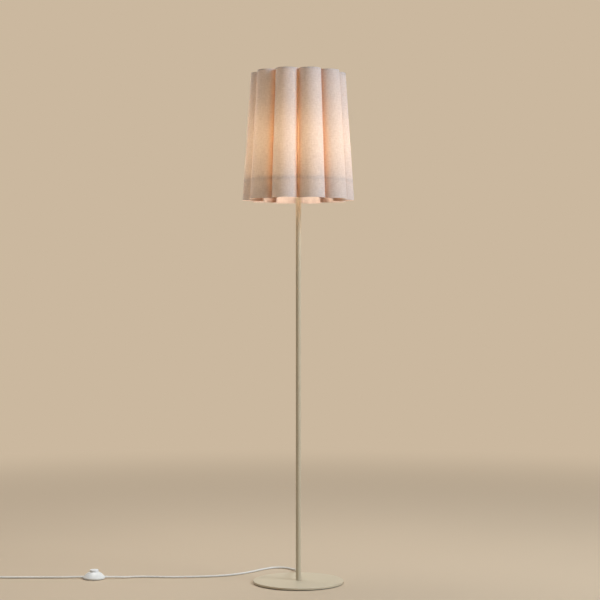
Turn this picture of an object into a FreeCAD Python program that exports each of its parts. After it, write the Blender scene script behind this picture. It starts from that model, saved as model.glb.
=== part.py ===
import FreeCAD, Part
import math
import os

V = FreeCAD.Vector

# All lengths are millimetres. Z is up, the floor is Z = 0, the pole's axis is the Z axis,
# and +Y is the rear of the lamp, where the cord leaves.

# Base plate, felt pad and the bolt that holds the pole
base_diameter = 280.0
base_thickness = 6.0
base_edge_round = 1.5
felt_thickness = 2.0
felt_inset = 3.0
felt_hole_diameter = 34.0
bolt_diameter = 8.0
bolt_head_diameter = 20.0
bolt_head_height = 2.2
bolt_socket_diameter = 5.6
bolt_socket_depth = 1.8
bolt_engagement = 15.0
washer_diameter = 18.0
washer_thickness = 0.8
recess_margin = 0.6

# Pole: three equal tubes joined end to end by hollow studs
pole_diameter = 16.0
pole_wall = 1.5
pole_length = 1239.0
pole_section_count = 3
stud_grip = 22.0
foot_insert_length = 22.0
nipple_grip = 20.0
nipple_diameter = 10.0
fixed_fit = 0.05

# Cord and the bush at its exit through the rear of the pole
cord_diameter = 6.0
cord_clearance = 0.3
cord_exit_rise = 27.0
bush_hole_diameter = 10.0
bush_flange_diameter = 13.0
bush_flange_thickness = 2.0
bush_tip_diameter = 8.4
bush_reach = 32.0
bush_inner_reach = 6.0

# Lampholder
holder_diameter = 42.0
holder_wall = 2.0
holder_cap_height = 20.0
holder_cap_foot_diameter = 20.0
holder_floor = 6.0
holder_shoulder_height = 10.0
holder_thread_diameter = 39.6
holder_thread_length = 28.0
holder_lip_diameter = 29.2
holder_lip_thickness = 2.0
core_thickness = 10.0
terminal_size = 5.0
terminal_spacing = 16.0
lead_diameter = 2.0
lead_spacing = 2.8
screw_shell_wall = 0.5
screw_shell_play = 0.25
contact_width = 5.0
contact_length = 16.0
contact_thickness = 0.7
contact_button_diameter = 5.0
contact_button_height = 1.3
contact_play = 0.1

# Bulb with its screw cap
bulb_diameter = 60.0
bulb_length = 108.0
bulb_neck_diameter = 49.0
bulb_neck_height = 57.0
bulb_wall = 1.2
cap_diameter = 26.4
cap_wall = 1.6
cap_bottom = 5.6
cap_top = 25.0
cap_thread_pitch = 3.6
cap_thread_depth = 0.8
tip_diameter = 9.0
tip_height = 1.6
insulator_foot_diameter = 11.0
insulator_top = 7.0
led_board_thickness = 1.6
led_board_rebate = 3.5
housing_rim_wall = 2.0
housing_ledge_width = 5.0

# Shade: a scalloped fabric wall on two wire rings, carried by five spider arms
lobe_count = 10
shade_bottom_diameter = 346.0
shade_top_diameter = 293.0
shade_height = 394.0
shade_drop = 92.0
shade_wall = 0.9
fold_gap = 2.0
fold_radius = 2.5
ring_wire_diameter = 3.0
ring_gap = 0.3
lower_ring_height = 67.0
upper_ring_inset = 4.0
arm_count = 5
arm_wire_diameter = 4.0
arm_inner_reach = 23.0
arm_bend_reach = 43.0
arm_end_length = 14.0
fitter_diameter = 54.0
fitter_thickness = 1.6
fitter_play = 0.2
clamp_ring_diameter = 56.0
clamp_flange_thickness = 2.5
clamp_skirt_diameter = 47.0
clamp_ring_height = 14.0
clamp_thread_play = 0.1

# Foot switch on the cord
switch_place = (-642.0, 68.0)
switch_diameter = 70.0
switch_wall = 2.0
switch_foot_height = 1.0
switch_floor = 2.5
switch_split_height = 5.5
switch_dome_height = 21.5
switch_edge_round = 1.5
dome_bulge = 1.0
collar_width = 2.5
button_diameter = 27.4
button_gap = 0.3
button_height = 29.0
button_wall = 2.0
button_edge_round = 2.0
button_flange_width = 1.4
button_flange_thickness = 2.0
button_stem_diameter = 5.6
button_travel = 4.0
stem_clearance = 0.1
mechanism_width = 17.0
mechanism_height = 8.5
switch_spring_wire = 0.9
switch_spring_diameter = 10.0
switch_spring_turns = 5
switch_screw_diameter = 3.0
switch_screw_head_diameter = 5.6
switch_screw_head_height = 1.2
switch_screw_length = 8.0
switch_screw_circle = 50.0
switch_screw_sink = 0.3
switch_boss_diameter = 6.4
switch_pad_diameter = 8.0
switch_pad_circle = 52.0
boot_diameter = 7.0
boot_tip_diameter = 6.6
boot_inside = 4.0
boot_outside = 8.0

# Coil of the cord that is not laid out, its tie, and the plug
coil_place = (-1000.0, 116.0)
coil_outer_radius = 43.0
coil_pitch = 6.6
coil_layer_rise = 6.6
coil_turns = 6.25
tie_thickness = 1.0
tie_width = 4.0
tie_gap = 0.3
plug_thickness = 13.0
plug_width = 26.0
plug_waist = 13.0
plug_boot_length = 16.0
plug_body_length = 36.0
plug_shoulder = 16.0
plug_edge_round = 2.5
plug_boot_diameter = 11.0
plug_boot_tip_diameter = 8.0
plug_boot_groove_depth = 0.8
plug_boot_groove_count = 3
pin_diameter = 4.0
pin_length = 19.0
pin_spacing = 18.6
plug_tail_length = 66.0

# Heights and places that follow from the sizes above
plate_top = felt_thickness + base_thickness
recess_top = felt_thickness + recess_margin + bolt_head_height + washer_thickness
pole_top = plate_top + pole_length
section_length = pole_length / pole_section_count
cord_exit_height = plate_top + cord_exit_rise
bore_radius = pole_diameter / 2 - pole_wall
cord_radius = cord_diameter / 2
body_bottom = pole_top + holder_cap_height
seat_height = body_bottom + holder_shoulder_height
holder_rim = seat_height + holder_thread_length
core_top = body_bottom + core_thickness + holder_wall
tip_seat = core_top + contact_thickness + contact_button_height + contact_play
fitter_bottom = seat_height + fitter_play
fitter_top = fitter_bottom + fitter_thickness
shade_bottom = seat_height - shade_drop
shade_top = shade_bottom + shade_height
switch_floor_top = switch_foot_height + switch_floor
screw_head_bottom = switch_foot_height + switch_screw_sink
screw_head_top = screw_head_bottom + switch_screw_head_height
boot_start = switch_diameter / 2 - switch_wall - boot_inside
boot_end = switch_diameter / 2 + boot_outside
switch_x, switch_y = switch_place
coil_x, coil_y = coil_place
coil_level = tie_thickness + tie_gap + cord_radius
coil_entry = (coil_x + cord_diameter, coil_y - coil_outer_radius, coil_level)
coil_exit = (coil_x - coil_outer_radius, coil_y + cord_diameter, coil_level + coil_layer_rise)
plug_end = (coil_exit[0], coil_exit[1] + plug_tail_length, plug_thickness / 2)


def disc(radius, bottom, top):
    """Upright cylinder on the Z axis."""
    return Part.makeCylinder(radius, top - bottom, V(0, 0, bottom))


def pipe(outer_radius, inner_radius, bottom, top):
    """Upright tube on the Z axis."""
    return disc(outer_radius, bottom, top).cut(disc(inner_radius, bottom, top))


def turned(outline):
    """Solid of revolution about Z. Each item is a corner (radius, height), or an arc as
    (point on the arc, corner)."""
    edges = []
    start = V(outline[0][0], 0, outline[0][1])
    here = start
    for item in outline[1:]:
        if isinstance(item[0], tuple):
            (middle_radius, middle_height), corner = item
            there = V(corner[0], 0, corner[1])
            edges.append(Part.Arc(here, V(middle_radius, 0, middle_height), there).toShape())
        else:
            there = V(item[0], 0, item[1])
            edges.append(Part.LineSegment(here, there).toShape())
        here = there
    if not here.isEqual(start, 1e-9):
        edges.append(Part.LineSegment(here, start).toShape())
    return Part.Face(Part.Wire(edges)).revolve(V(0, 0, 0), V(0, 0, 1), 360)


def rounded_rim(solid, radius, height, size):
    """The solid with a fillet on its circular edge of that radius and height."""
    edges = []
    for edge in solid.Edges:
        curve = edge.Curve
        if not isinstance(curve, Part.Circle):
            continue
        if abs(curve.Radius - radius) < 1e-6 and abs(curve.Center.z - height) < 1e-6:
            edges.append(edge)
    return solid.makeFillet(size, edges)


def polar(radius, angle, height):
    return V(radius * math.cos(angle), radius * math.sin(angle), height)


def arc_about(centre, radius, start, end):
    """Level arc about a centre, from one angle to another."""
    middle = (start + end) / 2
    return Part.Arc(*(centre + polar(radius, angle, 0) for angle in (start, middle, end))).toShape()


def swept(edges, diameter):
    """Round tube along joined edges, square at its start."""
    path = Part.Wire(edges)
    start = edges[0].valueAt(edges[0].FirstParameter)
    heading = edges[0].tangentAt(edges[0].FirstParameter)
    section = Part.Wire(Part.makeCircle(diameter / 2, start, heading))
    return path.makePipeShell([section], True, False)


def route(points):
    """Edges of a bent route: straight runs joined by arcs as large as the runs allow."""
    setback_share = 0.45
    corners = [V(*point) for point in points]
    edges = []
    radii = []
    here = corners[0]
    for before, corner, after in zip(corners, corners[1:], corners[2:]):
        arriving = corner - before
        leaving = after - corner
        half_turn = arriving.getAngle(leaving) / 2
        setback = setback_share * min(arriving.Length, leaving.Length)
        radius = setback / math.tan(half_turn)
        arc_start = corner - arriving.normalize() * setback
        arc_end = corner + leaving.normalize() * setback
        inward = ((arc_start + arc_end) * 0.5 - corner).normalize()
        middle = corner + inward * (radius / math.cos(half_turn) - radius)
        edges.append(Part.LineSegment(here, arc_start).toShape())
        edges.append(Part.Arc(arc_start, middle, arc_end).toShape())
        radii.append(radius)
        here = arc_end
    edges.append(Part.LineSegment(here, corners[-1]).toShape())
    return edges, radii


def laid_cord(name, points):
    """A free stretch of cord, with its length, its tightest bend and its volume compared."""
    edges, radii = route(points)
    tube = swept(edges, cord_diameter)
    length = sum(edge.Length for edge in edges)
    share = tube.Volume / (math.pi * cord_radius**2 * length)
    bends = " ".join(f"{radius:.0f}" for radius in radii)
    print(f"{name}: length {length:.0f}, volume over section times length {share:.4f}, radii {bends}")
    return tube


def arc_from(start, heading, end):
    """Arc that leaves start along a heading and reaches end, with its heading there."""
    chord = end - start
    normal = chord.cross(heading)
    if normal.Length < 1e-9 * chord.Length:
        return Part.LineSegment(start, end).toShape()
    turn = chord.getAngle(heading)
    half = chord * 0.5
    bulge = normal.cross(chord).normalize() * -1
    if bulge.dot(heading) < 0:
        bulge = bulge * -1
    return Part.Arc(start, start + half + bulge * (half.Length * math.tan(turn / 2)), end).toShape()


def biarcs(points, headings):
    """Two tangent arcs between each point and the next, keeping the headings."""
    edges = []
    for p, q, a, b in zip(points, points[1:], headings, headings[1:]):
        chord = q - p
        spread = 2 * (1 - a.dot(b))
        along = chord.dot(a + b)
        reach = (math.sqrt(along**2 + spread * chord.dot(chord)) - along) / spread
        joint = (p + q + (a - b) * reach) * 0.5
        edges.append(arc_from(p, a, joint))
        arriving = arc_from(q, b * -1, joint)
        middle = arriving.valueAt((arriving.FirstParameter + arriving.LastParameter) / 2)
        edges.append(Part.Arc(joint, middle, q).toShape())
    return edges


def least_gap(place_at, turns, diameter):
    """Least gap between a winding's neighbouring turns, measured on points along it."""
    steps = 48
    points = [place_at(index / steps) for index in range(int(turns * steps) + 1)]
    apart = steps * 3 // 4
    gaps = []
    for index, point in enumerate(points):
        for other in points[index + apart:]:
            gaps.append(point.distanceToPoint(other))
    return min(gaps) - diameter


def winding(place_at, turns, parts_per_turn):
    """Points and headings of a winding, a whole number of steps in each turn."""
    small = 1e-4
    count = round(turns * parts_per_turn)
    points = []
    headings = []
    for index in range(count + 1):
        turn = index / parts_per_turn
        points.append(place_at(turn))
        headings.append((place_at(turn + small) - place_at(turn - small)).normalize())
    return points, headings


# Base

def make_base_plate():
    plate = disc(base_diameter / 2, felt_thickness, plate_top)
    plate = rounded_rim(plate, base_diameter / 2, plate_top, base_edge_round)
    recess_radius = bolt_head_diameter / 2 + recess_margin
    plate = plate.cut(disc(recess_radius, felt_thickness, recess_top))
    return plate.cut(disc(bolt_diameter / 2 + fixed_fit, recess_top, plate_top))


def make_base_felt():
    return pipe(base_diameter / 2 - felt_inset, felt_hole_diameter / 2, 0, felt_thickness)


def make_base_washer():
    hole_radius = bolt_diameter / 2 + fixed_fit
    return pipe(washer_diameter / 2, hole_radius, recess_top - washer_thickness, recess_top)


def make_base_bolt():
    head_top = recess_top - washer_thickness
    head = disc(bolt_head_diameter / 2, head_top - bolt_head_height, head_top)
    corners = [polar(bolt_socket_diameter / 2, math.pi / 3 * side, 0) for side in range(7)]
    socket = Part.Face(Part.makePolygon(corners)).extrude(V(0, 0, bolt_socket_depth))
    socket.translate(V(0, 0, head_top - bolt_head_height))
    shank = disc(bolt_diameter / 2, head_top, plate_top + bolt_engagement)
    return head.cut(socket).fuse(shank).removeSplitter()


# Pole

def make_pole_section(index):
    bottom = plate_top + index * section_length
    tube = pipe(pole_diameter / 2, bore_radius, bottom, bottom + section_length)
    if index == 0:
        hole = Part.makeCylinder(
            bush_hole_diameter / 2, pole_diameter, V(0, 0, cord_exit_height), V(0, 1, 0)
        )
        tube = tube.cut(hole)
    return tube


def make_pole_stud(index):
    middle = plate_top + index * section_length
    bore = cord_radius + cord_clearance
    return pipe(bore_radius - fixed_fit, bore, middle - stud_grip, middle + stud_grip)


def make_pole_foot_insert():
    hole_radius = bolt_diameter / 2 + fixed_fit
    return pipe(bore_radius - fixed_fit, hole_radius, plate_top, plate_top + foot_insert_length)


def make_pole_top_nipple():
    bore = cord_radius + cord_clearance
    grip = pipe(bore_radius - fixed_fit, bore, pole_top - nipple_grip, pole_top)
    stem = pipe(nipple_diameter / 2, bore, pole_top, pole_top + holder_floor)
    return grip.fuse(stem).removeSplitter()


# Cord inside the pole and the bush it leaves by

def make_cord_bush():
    flange_start = pole_diameter / 2 + fixed_fit
    flange_end = flange_start + bush_flange_thickness
    neck = bush_hole_diameter / 2 - fixed_fit
    bore = cord_radius + fixed_fit
    bush = turned([
        (bore, bush_inner_reach),
        (neck, bush_inner_reach),
        (neck, flange_start),
        (bush_flange_diameter / 2, flange_start),
        (bush_flange_diameter / 2, flange_end),
        (neck, flange_end),
        (bush_tip_diameter / 2, bush_reach),
        (bore, bush_reach),
    ])
    bush.rotate(V(0, 0, 0), V(1, 0, 0), -90)
    bush.translate(V(0, 0, cord_exit_height))
    return bush


def make_inner_cord():
    bend = bush_inner_reach
    sheath_end = pole_top + holder_floor + cord_radius
    turn_start = V(0, bend, cord_exit_height)
    turn_end = V(0, 0, cord_exit_height + bend)
    turn_middle = V(0, bend, cord_exit_height + bend) - V(0, 1, 1).normalize() * bend
    edges = [
        Part.LineSegment(V(0, bush_reach, cord_exit_height), turn_start).toShape(),
        Part.Arc(turn_start, turn_middle, turn_end).toShape(),
        Part.LineSegment(turn_end, V(0, 0, sheath_end)).toShape(),
    ]
    return swept(edges, cord_diameter)


# Lampholder

def make_holder_cap():
    outer = holder_diameter / 2
    inner = outer - holder_wall
    foot = holder_cap_foot_diameter / 2
    hole = nipple_diameter / 2 + fixed_fit
    dome_top = pole_top + holder_cap_height * 0.7
    bulge = (foot + (outer - foot) * 0.75, pole_top + (dome_top - pole_top) * 0.35)
    return turned([
        (hole, pole_top),
        (foot, pole_top),
        (bulge, (outer, dome_top)),
        (outer, body_bottom),
        (inner, body_bottom),
        (inner, dome_top),
        (foot, pole_top + holder_floor),
        (hole, pole_top + holder_floor),
    ])


def make_holder_body():
    thread = holder_thread_diameter / 2
    inner = thread - holder_wall
    lip_bottom = holder_rim - holder_lip_thickness
    return turned([
        (inner, body_bottom),
        (holder_diameter / 2, body_bottom),
        (holder_diameter / 2, seat_height),
        (thread, seat_height),
        (thread, holder_rim),
        (holder_lip_diameter / 2, holder_rim),
        (holder_lip_diameter / 2, lip_bottom),
        (inner, lip_bottom),
    ])


def make_holder_core():
    radius = holder_thread_diameter / 2 - holder_wall - fixed_fit
    return disc(radius, core_top - core_thickness, core_top)


def make_holder_terminals():
    blocks = []
    for side in (-1, 1):
        corner = V(side * terminal_spacing / 2, 0, core_top - core_thickness - terminal_size)
        corner = corner - V(terminal_size / 2, terminal_size / 2, 0)
        blocks.append(Part.makeBox(terminal_size, terminal_size, terminal_size, corner))
    return Part.makeCompound(blocks)


def make_holder_leads():
    start = pole_top + holder_floor + cord_radius
    end = core_top - core_thickness - terminal_size
    rise = end - start
    leads = []
    for side in (-1, 1):
        near = side * lead_spacing / 2
        far = side * terminal_spacing / 2
        points = [
            (near, 0, start),
            (near, 0, start + rise * 0.3),
            (far, 0, end - rise * 0.3),
            (far, 0, end),
        ]
        leads.append(swept(route(points)[0], lead_diameter))
    return Part.makeCompound(leads)


def make_holder_screw_shell():
    inner = cap_diameter / 2 + screw_shell_play
    return pipe(inner + screw_shell_wall, inner, core_top, holder_rim - holder_lip_thickness)


def make_holder_contact():
    corner = V(-contact_width / 2, -contact_length / 2, core_top)
    strip = Part.makeBox(contact_width, contact_length, contact_thickness, corner)
    strip_top = core_top + contact_thickness
    button = disc(contact_button_diameter / 2, strip_top, strip_top + contact_button_height)
    return strip.fuse(button)


def make_shade_clamp_ring():
    bottom = fitter_top + fitter_play
    bore = holder_thread_diameter / 2 + clamp_thread_play
    return turned([
        (bore, bottom),
        (clamp_ring_diameter / 2, bottom),
        (clamp_ring_diameter / 2, bottom + clamp_flange_thickness),
        (clamp_skirt_diameter / 2, bottom + clamp_flange_thickness),
        (clamp_skirt_diameter / 2, bottom + clamp_ring_height),
        (bore, bottom + clamp_ring_height),
    ])


# Bulb

def make_bulb_tip():
    return turned([
        (0, tip_seat),
        (tip_diameter / 4, tip_seat),
        (tip_diameter / 2, tip_seat + tip_height),
        (0, tip_seat + tip_height),
    ])


def make_bulb_insulator():
    radius = cap_diameter / 2 - cap_wall - fixed_fit
    return turned([
        (0, tip_seat + tip_height),
        (insulator_foot_diameter / 2, tip_seat + tip_height),
        (radius, tip_seat + cap_bottom),
        (radius, tip_seat + insulator_top),
        (0, tip_seat + insulator_top),
    ])


def make_bulb_cap():
    crest = cap_diameter / 2
    root = crest - cap_thread_depth
    inner = crest - cap_wall
    thread_turns = int((cap_top - cap_bottom) / cap_thread_pitch)
    thread_start = tip_seat + cap_top - thread_turns * cap_thread_pitch
    outline = [(inner, tip_seat + cap_bottom), (root, tip_seat + cap_bottom), (root, thread_start)]
    for turn in range(thread_turns):
        low = thread_start + turn * cap_thread_pitch
        outline.append(((crest, low + cap_thread_pitch / 2), (root, low + cap_thread_pitch)))
    outline.append((inner, tip_seat + cap_top))
    return turned(outline)


def make_bulb_housing():
    bottom = tip_seat + cap_top
    top = tip_seat + bulb_neck_height
    ledge = top - led_board_rebate
    foot = cap_diameter / 2
    rim = bulb_neck_diameter / 2
    bore = rim - housing_rim_wall
    waist = (foot + (rim - foot) * 0.35, bottom + (top - bottom) * 0.5)
    return turned([
        (foot - cap_wall, bottom),
        (foot, bottom),
        (waist, (rim, top)),
        (bore, top),
        (bore, ledge),
        (bore - housing_ledge_width, ledge),
    ])


def make_bulb_led_board():
    ledge = tip_seat + bulb_neck_height - led_board_rebate
    radius = bulb_neck_diameter / 2 - housing_rim_wall - cord_clearance
    return disc(radius, ledge, ledge + led_board_thickness)


def make_bulb_globe():
    rim = bulb_neck_diameter / 2
    bottom = tip_seat + bulb_neck_height
    radius = bulb_diameter / 2
    centre = tip_seat + bulb_length - radius
    slant = math.sqrt(0.5)
    flank = (rim + (radius - rim) * 0.82, bottom + (centre - bottom) * 0.5)
    inner = radius - bulb_wall
    return turned([
        (rim - bulb_wall, bottom),
        (rim, bottom),
        (flank, (radius, centre)),
        ((radius * slant, centre + radius * slant), (0, centre + radius)),
        (0, centre + inner),
        ((inner * slant, centre + inner * slant), (inner, centre)),
        ((flank[0] - bulb_wall, flank[1]), (rim - bulb_wall, bottom)),
    ])


# Shade

def wall_radius(height):
    """Outer radius of the shade's lobes at a height."""
    share = (height - shade_bottom) / shade_height
    return (shade_bottom_diameter + (shade_top_diameter - shade_bottom_diameter) * share) / 2


def fold_place(radius):
    """Lobe radius, and the distance of lobe and fold centres from the axis."""
    sine = math.sin(math.pi / lobe_count)
    cosine = math.cos(math.pi / lobe_count)
    lobe_radius = (radius * sine - fold_gap / 2) / (1 + sine)
    lobe_reach = radius - lobe_radius
    across = lobe_reach * sine
    fold_reach = lobe_reach * cosine - math.sqrt((lobe_radius + fold_radius) ** 2 - across**2)
    return lobe_radius, lobe_reach, fold_reach


def scalloped(height, inset):
    """Level closed line that follows the shade's wall, set in from its outer face: round
    lobes joined by narrow folds that point at the axis."""
    lobe_radius, lobe_reach, fold_reach = fold_place(wall_radius(height))
    half_pitch = math.pi / lobe_count
    fold_x = fold_reach * math.cos(half_pitch) - lobe_reach
    fold_y = fold_reach * math.sin(half_pitch)
    spread = math.atan2(fold_y, fold_x)
    lobe = lobe_radius - inset
    fold = fold_radius + inset
    edges = []
    for index in range(lobe_count):
        angle = 2 * half_pitch * index
        centre = polar(lobe_reach, angle, height)
        edges.append(arc_about(centre, lobe, angle - spread, angle))
        edges.append(arc_about(centre, lobe, angle, angle + spread))
        inward = angle + half_pitch + math.pi
        centre = polar(fold_reach, angle + half_pitch, height)
        edges.append(arc_about(centre, fold, inward + spread - half_pitch, inward))
        edges.append(arc_about(centre, fold, inward, inward + half_pitch - spread))
    return edges


def make_shade_fabric():
    walls = []
    for inset in (0, shade_wall):
        ends = [Part.Wire(scalloped(height, inset)) for height in (shade_bottom, shade_top)]
        walls.append(Part.makeLoft(ends, True, True))
    return walls[0].cut(walls[1])


def make_shade_ring(height):
    inset = shade_wall + ring_gap + ring_wire_diameter / 2
    return swept(scalloped(height, inset), ring_wire_diameter)


def make_shade_fitter_ring():
    bore = holder_thread_diameter / 2 + ring_gap
    return pipe(fitter_diameter / 2, bore, fitter_bottom, fitter_top)


def make_shade_spider_arms():
    ring_level = shade_bottom + lower_ring_height
    fold_reach = fold_place(wall_radius(ring_level))[2]
    ring_inset = fold_radius + shade_wall + ring_gap + ring_wire_diameter + fixed_fit
    arm_level = fitter_bottom - arm_wire_diameter / 2
    arms = []
    for index in range(arm_count):
        points = [
            (arm_inner_reach, 0, arm_level),
            (arm_bend_reach, 0, arm_level),
            (fold_reach - ring_inset - arm_end_length, 0, ring_level),
            (fold_reach - ring_inset, 0, ring_level),
        ]
        arm = swept(route(points)[0], arm_wire_diameter)
        arm.rotate(V(0, 0, 0), V(0, 0, 1), 180 / lobe_count + 360 / arm_count * index)
        arms.append(arm)
    return Part.makeCompound(arms)


# Foot switch, made about its own axis and then put in its place

def at_switch(shape):
    shape.translate(V(*switch_place, 0))
    return shape


def dome_outline(inset):
    """Sloping side of the switch from its split line to the collar round the button. It stands
    out a little from a straight cone."""
    rim = switch_diameter / 2 - inset
    collar = button_diameter / 2 + button_gap + collar_width
    top = switch_dome_height - inset
    run = rim - collar
    rise = top - switch_split_height
    outward = dome_bulge / math.hypot(run, rise)
    middle = (
        (rim + collar) / 2 + rise * outward,
        (switch_split_height + top) / 2 + run * outward,
    )
    return [(rim, switch_split_height), (middle, (collar, top))]


def around_switch(circle, first_angle, make_piece):
    """Three pieces set evenly on a circle about the switch's axis."""
    pieces = []
    for index in range(3):
        piece = make_piece()
        piece.translate(polar(circle / 2, math.radians(first_angle + 120 * index), 0))
        pieces.append(piece)
    return Part.makeCompound(pieces)


def switch_screw_holes(radius, bottom, top):
    return around_switch(switch_screw_circle, 90, lambda: disc(radius, bottom, top))


def boot_passage():
    """Space through the switch's rim for both boots."""
    radius = boot_diameter / 2 + fixed_fit
    start = V(-switch_diameter, 0, switch_split_height)
    passage = Part.makeCylinder(radius, 2 * switch_diameter, start, V(1, 0, 0))
    middle_radius = switch_diameter / 2 - switch_wall - boot_inside
    return passage.cut(disc(middle_radius, 0, switch_dome_height))


def make_switch_base():
    rim = switch_diameter / 2
    inner = rim - switch_wall
    base = turned([
        (0, switch_foot_height),
        (rim, switch_foot_height),
        (rim, switch_split_height),
        (inner, switch_split_height),
        (inner, switch_floor_top),
        (0, switch_floor_top),
    ])
    base = rounded_rim(base, rim, switch_foot_height, switch_edge_round)
    head_space = switch_screw_head_diameter / 2 + fixed_fit
    base = base.cut(switch_screw_holes(head_space, switch_foot_height, screw_head_top))
    shank_space = switch_screw_diameter / 2 + fixed_fit
    base = base.cut(switch_screw_holes(shank_space, screw_head_top, switch_floor_top))
    return at_switch(base.cut(boot_passage()))


def make_switch_cover():
    hole = button_diameter / 2 + button_gap
    outer = dome_outline(0)
    inner = dome_outline(switch_wall)
    rim_inner, (middle_inner, collar_inner) = inner
    cover = turned(
        outer
        + [(hole, switch_dome_height), (hole, switch_dome_height - switch_wall), collar_inner]
        + [(middle_inner, rim_inner)]
    )
    filled = turned(outer + [(0, switch_dome_height), (0, switch_split_height)])
    posts = around_switch(
        switch_screw_circle, 90,
        lambda: disc(switch_boss_diameter / 2, switch_split_height, switch_dome_height),
    )
    cover = cover.fuse(posts.common(filled)).removeSplitter()
    legs = around_switch(
        switch_screw_circle, 90,
        lambda: disc(switch_boss_diameter / 2, switch_floor_top, switch_split_height),
    )
    cover = cover.fuse(legs).removeSplitter()
    pilot_top = screw_head_top + switch_screw_length
    pilot = switch_screw_holes(switch_screw_diameter / 2 + fixed_fit, switch_floor_top, pilot_top)
    return at_switch(cover.cut(pilot).cut(boot_passage()))


def make_switch_button():
    radius = button_diameter / 2
    flange_top = switch_dome_height - switch_wall - button_gap
    flange_bottom = flange_top - button_flange_thickness
    roof = button_height - button_wall
    stem = button_stem_diameter / 2
    stem_bottom = switch_floor_top + button_travel + button_gap
    button = turned([
        (0, stem_bottom),
        (stem, stem_bottom),
        (stem, roof),
        (radius - button_wall, roof),
        (radius - button_wall, flange_bottom),
        (radius + button_flange_width, flange_bottom),
        (radius + button_flange_width, flange_top),
        (radius, flange_top),
        (radius, button_height),
        (0, button_height),
    ])
    return at_switch(rounded_rim(button, radius, button_height, button_edge_round))


def make_switch_mechanism():
    half = mechanism_width / 2
    corner = V(-half, -half, switch_floor_top)
    block = Part.makeBox(mechanism_width, mechanism_width, mechanism_height, corner)
    well = disc(button_stem_diameter / 2 + stem_clearance, switch_floor_top, switch_dome_height)
    return at_switch(block.cut(well))


def make_switch_spring():
    bottom = switch_floor_top + mechanism_height + switch_spring_wire / 2 + button_gap
    top = button_height - button_wall - switch_spring_wire / 2 - button_gap
    mean = (switch_spring_diameter - switch_spring_wire) / 2
    pitch = (top - bottom) / switch_spring_turns

    def place_at(turn):
        return polar(mean, 2 * math.pi * turn, bottom + pitch * turn)

    print(f"switch_spring: least gap {least_gap(place_at, switch_spring_turns, switch_spring_wire):.2f}")
    return at_switch(swept(biarcs(*winding(place_at, switch_spring_turns, 4)), switch_spring_wire))


def make_switch_screws():
    def screw():
        head = disc(switch_screw_head_diameter / 2, screw_head_bottom, screw_head_top)
        shank = disc(switch_screw_diameter / 2, screw_head_top, screw_head_top + switch_screw_length)
        return head.fuse(shank).removeSplitter()

    return at_switch(around_switch(switch_screw_circle, 90, screw))


def make_switch_pads():
    pad = switch_pad_diameter / 2
    return at_switch(around_switch(switch_pad_circle, 30, lambda: disc(pad, 0, switch_foot_height)))


def make_switch_boots():
    boots = []
    for turn in (90, -90):
        boot = turned([
            (0, boot_start),
            (boot_diameter / 2, boot_start),
            (boot_diameter / 2, switch_diameter / 2),
            (boot_tip_diameter / 2, boot_end),
            (0, boot_end),
        ])
        boot.rotate(V(0, 0, 0), V(0, 1, 0), turn)
        boot.translate(V(0, 0, switch_split_height))
        boots.append(boot)
    return at_switch(Part.makeCompound(boots))


def make_switch_leads():
    length = boot_start - mechanism_width / 2
    leads = []
    for heading in (-1, 1):
        for side in (-1, 1):
            start = V(heading * mechanism_width / 2, side * lead_spacing / 2, switch_split_height)
            leads.append(Part.makeCylinder(lead_diameter / 2, length, start, V(heading, 0, 0)))
    return at_switch(Part.makeCompound(leads))


# Cord laid on the floor

def make_cord_to_switch():
    return laid_cord("cord_to_switch", [
        (0, bush_reach, cord_exit_height),
        (0, 66, cord_exit_height),
        (-1, 104, 29),
        (-2, 146, 18.5),
        (-6, 186, 8),
        (-17, 224, cord_radius),
        (-42, 258, cord_radius),
        (-84, 260, cord_radius),
        (-122, 218, cord_radius),
        (-160, 166, cord_radius),
        (-208, 122, cord_radius),
        (-266, 96, cord_radius),
        (-332, 85, cord_radius),
        (-398, 79, cord_radius),
        (-458, 86, cord_radius),
        (-512, 88, cord_radius),
        (-548, 75, 3.6),
        (switch_x + boot_end + 24, switch_y, switch_split_height),
        (switch_x + boot_end, switch_y, switch_split_height),
    ])


def make_cord_to_coil():
    return laid_cord("cord_to_coil", [
        (switch_x - boot_end, switch_y, switch_split_height),
        (switch_x - boot_end - 24, switch_y, switch_split_height),
        (-742, 70, 3.8),
        (-790, 75, cord_radius),
        (-852, 76, cord_radius),
        (-914, 74, cord_radius),
        (coil_x + 36, coil_entry[1], coil_level),
        coil_entry,
    ])


def make_cord_tail():
    exit_x, exit_y, exit_level = coil_exit
    end_x, end_y, end_level = plug_end
    return laid_cord("cord_tail", [
        coil_exit,
        (exit_x, exit_y + plug_tail_length * 0.3, exit_level),
        (end_x, end_y - plug_tail_length * 0.3, end_level),
        plug_end,
    ])


def coil_place_at(turn):
    """Centre of the coiled cord: in on the lower layer, out on the upper one, clockwise."""
    middle = coil_turns / 2
    inward = min(turn, coil_turns - turn)
    climb = min(max(turn - middle + 0.25, 0) * 2, 1)
    eased = climb * climb * (3 - 2 * climb)
    angle = -math.pi / 2 - 2 * math.pi * turn
    radius = coil_outer_radius - coil_pitch * inward
    return V(coil_x, coil_y, 0) + polar(radius, angle, coil_level + coil_layer_rise * eased)


def make_cord_coil():
    print(f"cord_coil: least gap {least_gap(coil_place_at, coil_turns, cord_diameter):.2f}")
    points, headings = winding(coil_place_at, coil_turns, 8)
    headings[0] = V(-1, 0, 0)
    headings[-1] = V(0, 1, 0)
    turns = biarcs(points, headings)
    entry = Part.LineSegment(V(*coil_entry), points[0]).toShape()
    leaving = Part.LineSegment(points[-1], V(*coil_exit)).toShape()
    edges = [entry] + turns + [leaving]
    coil = swept(edges, cord_diameter)
    length = sum(edge.Length for edge in edges)
    share = coil.Volume / (math.pi * cord_radius**2 * length)
    print(f"cord_coil: length {length:.0f}, volume over section times length {share:.4f}")
    return coil


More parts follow.
